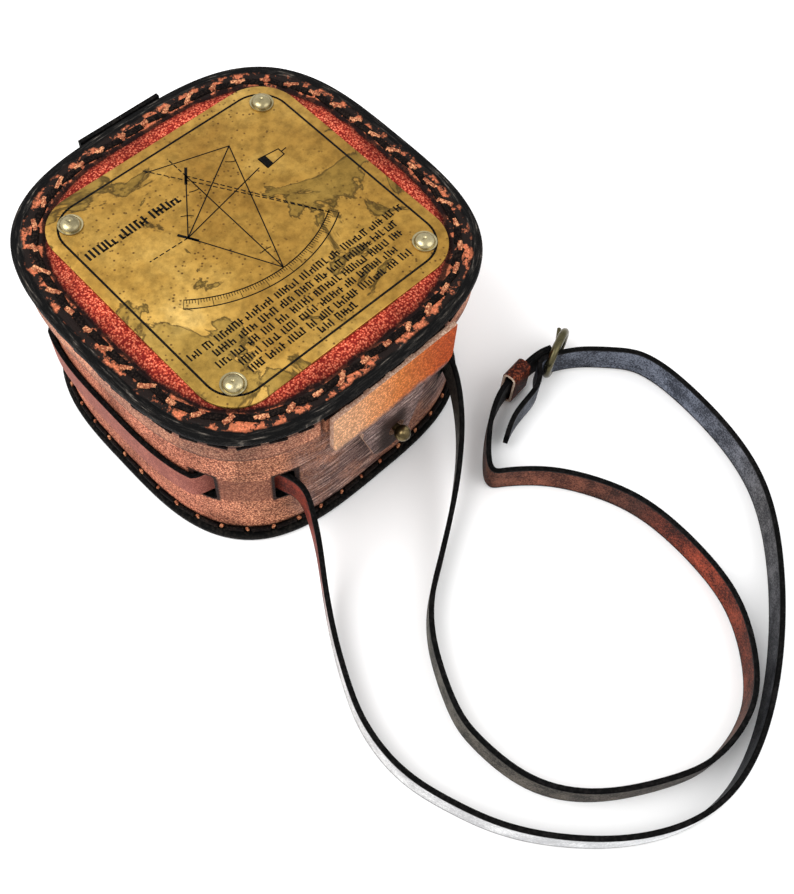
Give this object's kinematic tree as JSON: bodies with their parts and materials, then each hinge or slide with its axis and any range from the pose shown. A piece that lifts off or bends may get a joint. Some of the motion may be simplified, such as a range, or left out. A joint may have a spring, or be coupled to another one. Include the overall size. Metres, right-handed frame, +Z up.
{
  "type": "nautical sextant in a leather carrying case",
  "caption": "Small brass sextant in a laced leather box case with a hinged lid, brass plate, stud closure and buckled shoulder strap.",
  "frame": {"origin": "middle of the case's underside, on the surface it stands on", "axes": "+Z up through the lid, -Y the side with the closure flap, +Y the hinge side, +X right of the closure"},
  "size_m": [0.176, 0.2917, 0.0788],
  "materials": {
    "tan_leather": "tan vegetable-tanned leather, grey weathering on the front",
    "red_leather": "red grained leather, darker towards the edge",
    "black_leather": "black burnished leather",
    "strap_leather": "brown strap leather with black painted edges",
    "brass": "aged brass with olive and brown tarnish",
    "silvered_scale": "silvered brass scale with cut divisions",
    "clear_glass": "clear ground lens",
    "shade_glass": "dark coloured shade glass",
    "mirror_glass": "silvered mirror glass",
    "grip_wood": "varnished dark hardwood"
  },
  "bodies": {
    "case": {"case_bottom": "tan_leather", "case_bottom_lacing": "black_leather", "case_wall": "tan_leather", "closure_stud": "brass", "stud_backing": "brass", "hinge_leaf_case": "black_leather", "strap_around_case": "strap_leather", "strap_left": "strap_leather", "strap_right": "strap_leather", "strap_keeper": "strap_leather", "buckle_frame": "brass"},
    "lid": {"lid_panel": "red_leather", "lid_skirt": "tan_leather", "lid_lacing": "black_leather", "brass_plate": "brass", "plate_rivet_1": "brass", "plate_rivet_2": "brass", "plate_rivet_3": "brass", "plate_rivet_4": "brass", "hinge_leaf_lid": "black_leather"},
    "flap": {"closure_flap": "tan_leather"},
    "prong": {"buckle_prong": "brass"},
    "sextant": {"sextant_frame": "brass", "arc_scale": "silvered_scale", "index_pivot": "brass", "horizon_mirror_holder": "brass", "horizon_mirror": "mirror_glass", "telescope_tube": "brass", "objective_lens": "clear_glass", "telescope_bracket": "brass", "index_shade_pin": "brass", "horizon_shade_pin": "brass", "handle_post_1": "brass", "handle_post_2": "brass", "handle_grip": "grip_wood", "foot_1": "brass", "foot_2": "brass", "foot_3": "brass"},
    "index": {"index_arm": "brass", "vernier": "silvered_scale", "index_mirror_holder": "brass", "index_mirror": "mirror_glass"},
    "clamp": {"clamp_screw": "brass"},
    "tangent": {"tangent_screw": "brass"},
    "draw_tube": {"telescope_draw_tube": "brass", "eyepiece_lens": "clear_glass"},
    "first_shade": {"index_shade_1": "brass", "index_shade_1_glass": "shade_glass"},
    "second_shade": {"index_shade_2": "brass", "index_shade_2_glass": "shade_glass"},
    "third_shade": {"horizon_shade": "brass", "horizon_shade_glass": "shade_glass"}
  },
  "joints": [
    {"name": "lid_hinge", "type": "hinge", "parent": "case", "child": "lid", "pos_m": [0, 0.0667, 0.0599], "axis": [-1, 0, 0], "range_deg": [0, 110], "deforming": ["closure_flap"]},
    {"name": "flap_hinge", "type": "hinge", "parent": "lid", "child": "flap", "pos_m": [0.0022, -0.0662, 0.0703], "axis": [-1, 0, 0], "range_deg": [0, 85]},
    {"name": "prong_hinge", "type": "hinge", "parent": "case", "child": "prong", "pos_m": [0.081, -0.0755, 0.0091], "axis": [0, 0, 1], "range_deg": [0, 75]},
    {"name": "sextant_lift", "type": "slide", "parent": "case", "child": "sextant", "axis": [0, 0, 1], "range_m": [0, 0.02]},
    {"name": "index_arm_swing", "type": "hinge", "parent": "sextant", "child": "index", "pos_m": [0, 0.042, 0.0254], "axis": [0, 0, 1], "range_deg": [-26, 26]},
    {"name": "clamp_screw_turn", "type": "hinge", "parent": "index", "child": "clamp", "pos_m": [0, -0.024, 0.0295], "axis": [0, 0, 1], "range_deg": [0, 180]},
    {"name": "tangent_screw_turn", "type": "hinge", "parent": "index", "child": "tangent", "pos_m": [0, -0.0342, 0.0307], "axis": [1, 0, 0], "continuous": true},
    {"name": "draw_tube_slide", "type": "slide", "parent": "sextant", "child": "draw_tube", "axis": [1, 0, 0], "range_m": [0, 0.006]},
    {"name": "index_shade_1_swing", "type": "hinge", "parent": "sextant", "child": "first_shade", "pos_m": [-0.02277, 0.03246, 0.0266], "axis": [-0.7179, -0.6961, 0], "range_deg": [0, 100]},
    {"name": "index_shade_2_swing", "type": "hinge", "parent": "sextant", "child": "second_shade", "pos_m": [-0.02277, 0.03246, 0.0266], "axis": [-0.7179, -0.6961, 0], "range_deg": [0, 100]},
    {"name": "horizon_shade_swing", "type": "hinge", "parent": "sextant", "child": "third_shade", "pos_m": [-0.044, 0.01, 0.0266], "axis": [-1, 0, 0], "range_deg": [0, 95]}
  ]
}
